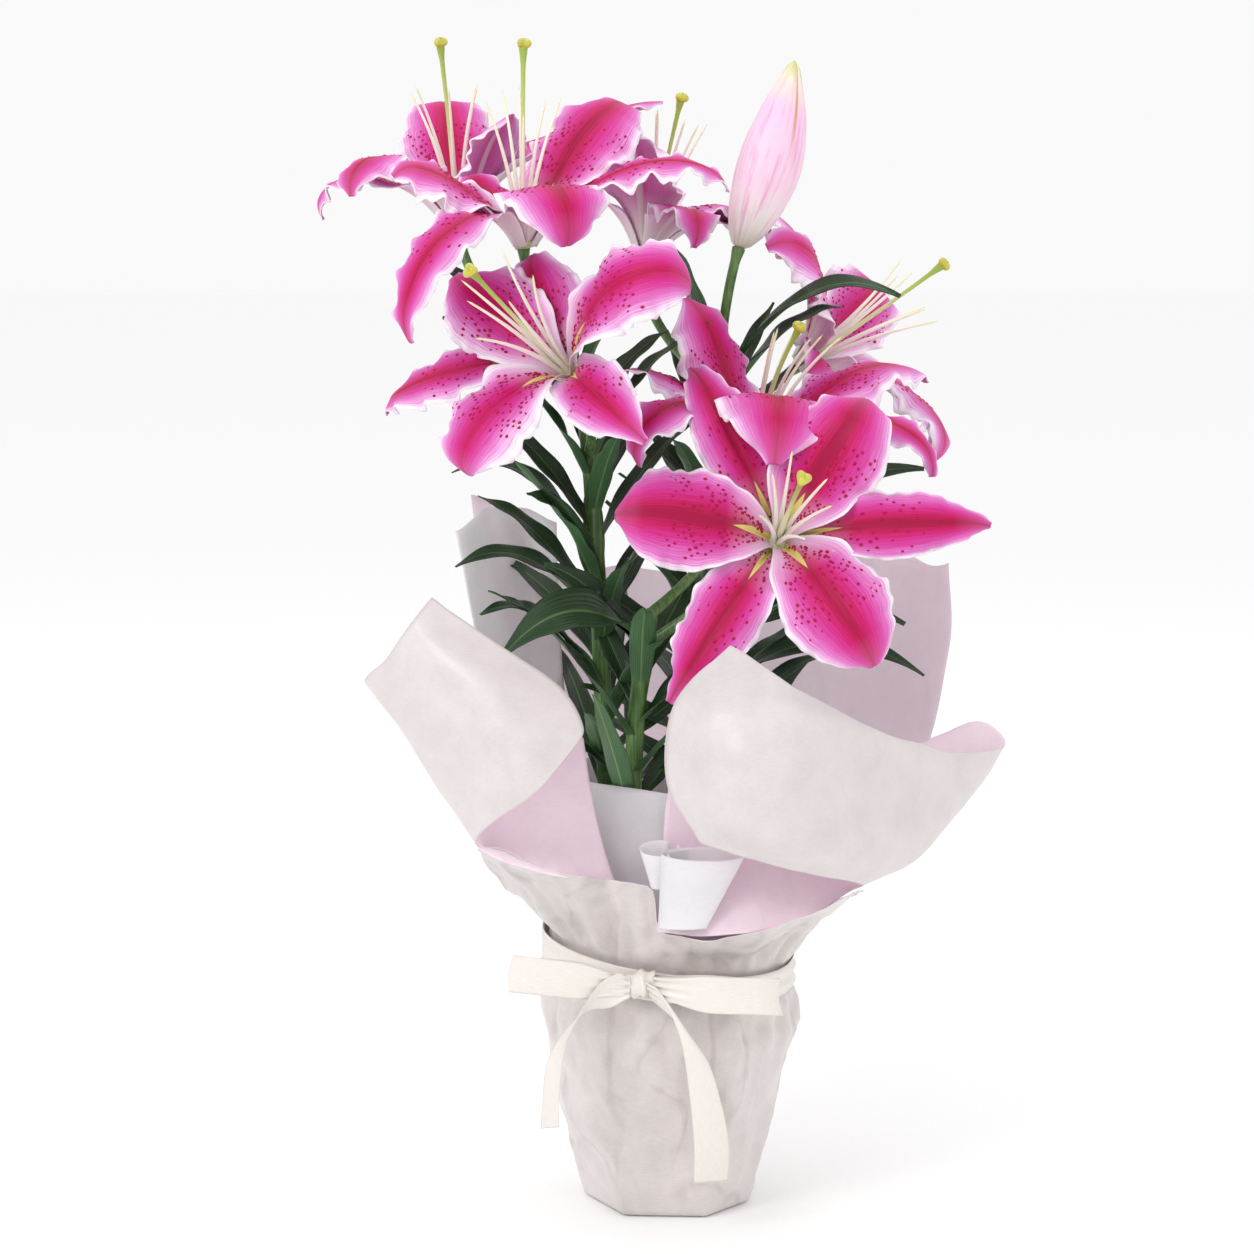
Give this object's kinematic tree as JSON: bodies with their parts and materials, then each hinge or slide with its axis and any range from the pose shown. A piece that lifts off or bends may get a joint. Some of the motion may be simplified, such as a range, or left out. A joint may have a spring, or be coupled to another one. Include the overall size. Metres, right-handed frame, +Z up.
{
  "type": "potted lily",
  "caption": "Potted lily with open pink flowers and a bud on leafy stems, in a pot wrapped in two-tone paper and tied with a satin bow.",
  "frame": {"origin": "middle of the wrap's flat bottom, where it rests", "axes": "+Z up, -Y is the front with the bow, +X is the right-hand side seen from the front"},
  "size_m": [0.3633, 0.3177, 0.6099],
  "materials": {
    "petal": "satin",
    "sepal": "satin",
    "filament": "satin",
    "pistil": "satin",
    "stem": "satin",
    "bud": "satin",
    "pot": "matte",
    "soil": "matte",
    "paper": "matte",
    "white_paper": "matte",
    "ribbon": "satin"
  },
  "bodies": {
    "root": {"back_left_petals": "petal", "back_left_pistil": "pistil", "back_left_sepals": "sepal", "back_left_stamens": "filament", "back_right_petals": "petal", "back_right_pistil": "pistil", "back_right_sepals": "sepal", "back_right_stamens": "filament", "back_sheet": "paper", "bud": "bud", "front_left_petals": "petal", "front_left_pistil": "pistil", "front_left_sepals": "sepal", "front_left_stamens": "filament", "front_right_petals": "petal", "front_right_pistil": "pistil", "front_right_sepals": "sepal", "front_right_stamens": "filament", "front_roll": "white_paper", "inner_sleeve": "white_paper", "left_loop": "ribbon", "left_tail": "ribbon", "left_wing": "paper", "middle_right_petals": "petal", "middle_right_pistil": "pistil", "middle_right_sepals": "sepal", "middle_right_stamens": "filament", "nursery_pot": "pot", "pot_cover": "paper", "ribbon_band": "ribbon", "ribbon_knot": "ribbon", "right_loop": "ribbon", "right_tail": "ribbon", "right_wing": "paper", "soil": "soil", "stem_left": "stem", "stem_middle": "stem", "stem_right": "stem", "top_left_petals": "petal", "top_left_pistil": "pistil", "top_left_sepals": "sepal", "top_left_stamens": "filament", "top_middle_petals": "petal", "top_middle_pistil": "pistil", "top_middle_sepals": "sepal", "top_middle_stamens": "filament", "white_sheet": "white_paper"}
  },
  "joints": []
}
